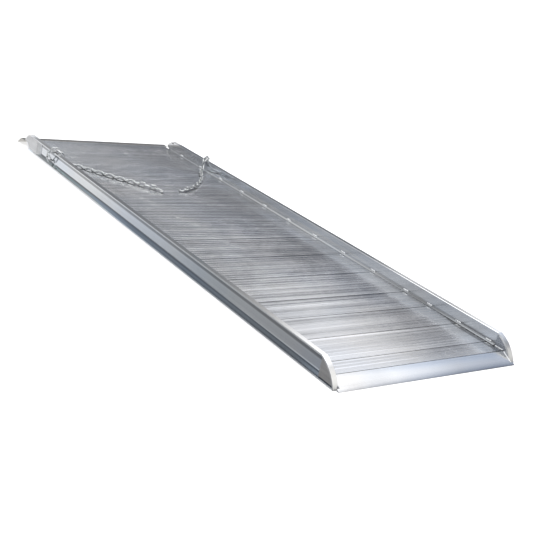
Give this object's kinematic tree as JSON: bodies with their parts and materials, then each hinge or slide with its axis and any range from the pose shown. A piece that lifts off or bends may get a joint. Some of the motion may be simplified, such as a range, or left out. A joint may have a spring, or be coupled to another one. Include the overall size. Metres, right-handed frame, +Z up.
{
  "type": "portable wheelchair ramp",
  "caption": "Welded aluminium walk ramp with ribbed plank deck, channel side rails as kerbs, bevelled ground lip, overlap lip and safety chains with hooks.",
  "frame": {"origin": "centre of the ramp's footprint on the ground", "axes": "+X to the right when walking up the ramp, +Y from the ground lip to the overlap lip, +Z up from the floor"},
  "size_m": [1.0154, 3.048, 0.1192],
  "materials": {
    "rail_extrusion": "mill-finish extrusion, drawn grain along the length",
    "deck_extrusion": "mill-finish ribbed extrusion, grain across the ramp",
    "lip_plate": "smooth bright mill finish",
    "nose_plate": "linished plate with scuffs",
    "weld_metal": "bright rippled weld bead",
    "plated_chain": "bright zinc plating",
    "plated_hook": "bright zinc plating, forged"
  },
  "bodies": {
    "ramp": {"left_side_rail": "rail_extrusion", "right_side_rail": "rail_extrusion", "left_ground_nose_strip": "nose_plate", "right_ground_nose_strip": "nose_plate", "left_ground_nose_web": "nose_plate", "right_ground_nose_web": "nose_plate", "left_ground_nose_plate": "nose_plate", "right_ground_nose_plate": "nose_plate", "left_upper_nose_strip": "nose_plate", "right_upper_nose_strip": "nose_plate", "left_upper_nose_web": "nose_plate", "right_upper_nose_web": "nose_plate", "left_upper_end_plate": "nose_plate", "right_upper_end_plate": "nose_plate", "ground_lip": "lip_plate", "overlap_lip": "lip_plate", "deck_plank_01": "deck_extrusion", "deck_plank_02": "deck_extrusion", "deck_plank_03": "deck_extrusion", "deck_plank_04": "deck_extrusion", "deck_plank_05": "deck_extrusion", "deck_plank_06": "deck_extrusion", "deck_plank_07": "deck_extrusion", "deck_plank_08": "deck_extrusion", "deck_plank_09": "deck_extrusion", "deck_plank_10": "deck_extrusion", "deck_plank_11": "deck_extrusion", "deck_plank_12": "deck_extrusion", "deck_plank_13": "deck_extrusion", "deck_plank_14": "deck_extrusion", "left_stitch_welds": "weld_metal", "right_stitch_welds": "weld_metal", "left_chain_anchor": "plated_chain", "right_chain_anchor": "plated_chain"},
    "left_riser": {"left_chain_riser": "plated_chain"},
    "left_drop": {"left_chain_drop": "plated_chain"},
    "left_run_1": {"left_chain_run_1": "plated_chain"},
    "left_run_2": {"left_chain_run_2": "plated_chain"},
    "left_run_3": {"left_chain_run_3": "plated_chain"},
    "left_run_4": {"left_chain_run_4": "plated_chain"},
    "left_hook": {"left_chain_hook": "plated_hook"},
    "right_riser": {"right_chain_riser": "plated_chain"},
    "right_drop": {"right_chain_drop": "plated_chain"},
    "right_run_1": {"right_chain_run_1": "plated_chain"},
    "right_run_2": {"right_chain_run_2": "plated_chain"},
    "right_run_3": {"right_chain_run_3": "plated_chain"},
    "right_run_4": {"right_chain_run_4": "plated_chain"},
    "right_hook": {"right_chain_hook": "plated_hook"}
  },
  "joints": [
    {"name": "left_chain_swing", "type": "hinge", "parent": "ramp", "child": "left_riser", "pos_m": [-0.4795, 1.036, 0.0347], "axis": [-1, 0, 0], "range_deg": [0, 8]},
    {"name": "left_chain_lift", "type": "hinge", "parent": "left_riser", "child": "left_drop", "pos_m": [-0.46176, 0.99589, 0.10741], "axis": [-0.7193, -0.6947, 0], "range_deg": [0, 50]},
    {"name": "left_chain_sweep_1", "type": "hinge", "parent": "left_drop", "child": "left_run_1", "pos_m": [-0.40292, 0.93132, 0.04633], "axis": [0, 0, 1], "range_deg": [-12, 12]},
    {"name": "left_chain_raise_1", "type": "hinge", "parent": "left_run_1", "child": "left_run_2", "pos_m": [-0.32288, 0.83423, 0.04633], "axis": [-0.809, -0.5878, 0], "range_deg": [0, 18]},
    {"name": "left_chain_sweep_2", "type": "hinge", "parent": "left_run_2", "child": "left_run_3", "pos_m": [-0.24743, 0.73333, 0.04633], "axis": [0, 0, 1], "range_deg": [-15, 15]},
    {"name": "left_chain_raise_2", "type": "hinge", "parent": "left_run_3", "child": "left_run_4", "pos_m": [-0.16843, 0.6352, 0.04742], "axis": [-0.7771, -0.6293, 0], "range_deg": [0, 18]},
    {"name": "left_hook_pivot", "type": "hinge", "parent": "left_run_4", "child": "left_hook", "pos_m": [-0.0907, 0.54395, 0.05017], "axis": [-0.7431, -0.6691, 0], "range_deg": [0, 80]},
    {"name": "right_chain_swing", "type": "hinge", "parent": "ramp", "child": "right_riser", "pos_m": [0.4795, 0.988, 0.0347], "axis": [-1, 0, 0], "range_deg": [0, 8]},
    {"name": "right_chain_lift", "type": "hinge", "parent": "right_riser", "child": "right_drop", "pos_m": [0.46176, 0.94789, 0.10741], "axis": [-0.7193, 0.6947, 0], "range_deg": [0, 50]},
    {"name": "right_chain_sweep_1", "type": "hinge", "parent": "right_drop", "child": "right_run_1", "pos_m": [0.40292, 0.88332, 0.04633], "axis": [0, 0, 1], "range_deg": [-12, 12]},
    {"name": "right_chain_raise_1", "type": "hinge", "parent": "right_run_1", "child": "right_run_2", "pos_m": [0.34267, 0.77294, 0.04633], "axis": [-0.8572, 0.515, 0], "range_deg": [0, 18]},
    {"name": "right_chain_sweep_2", "type": "hinge", "parent": "right_run_2", "child": "right_run_3", "pos_m": [0.26877, 0.67122, 0.04633], "axis": [0, 0, 1], "range_deg": [-15, 15]},
    {"name": "right_chain_raise_2", "type": "hinge", "parent": "right_run_3", "child": "right_run_4", "pos_m": [0.18177, 0.58033, 0.04907], "axis": [-0.6018, 0.7986, 0], "range_deg": [0, 18]},
    {"name": "right_hook_pivot", "type": "hinge", "parent": "right_run_4", "child": "right_hook", "pos_m": [0.10724, 0.53313, 0.05017], "axis": [-0.454, 0.891, 0], "range_deg": [0, 80]}
  ]
}
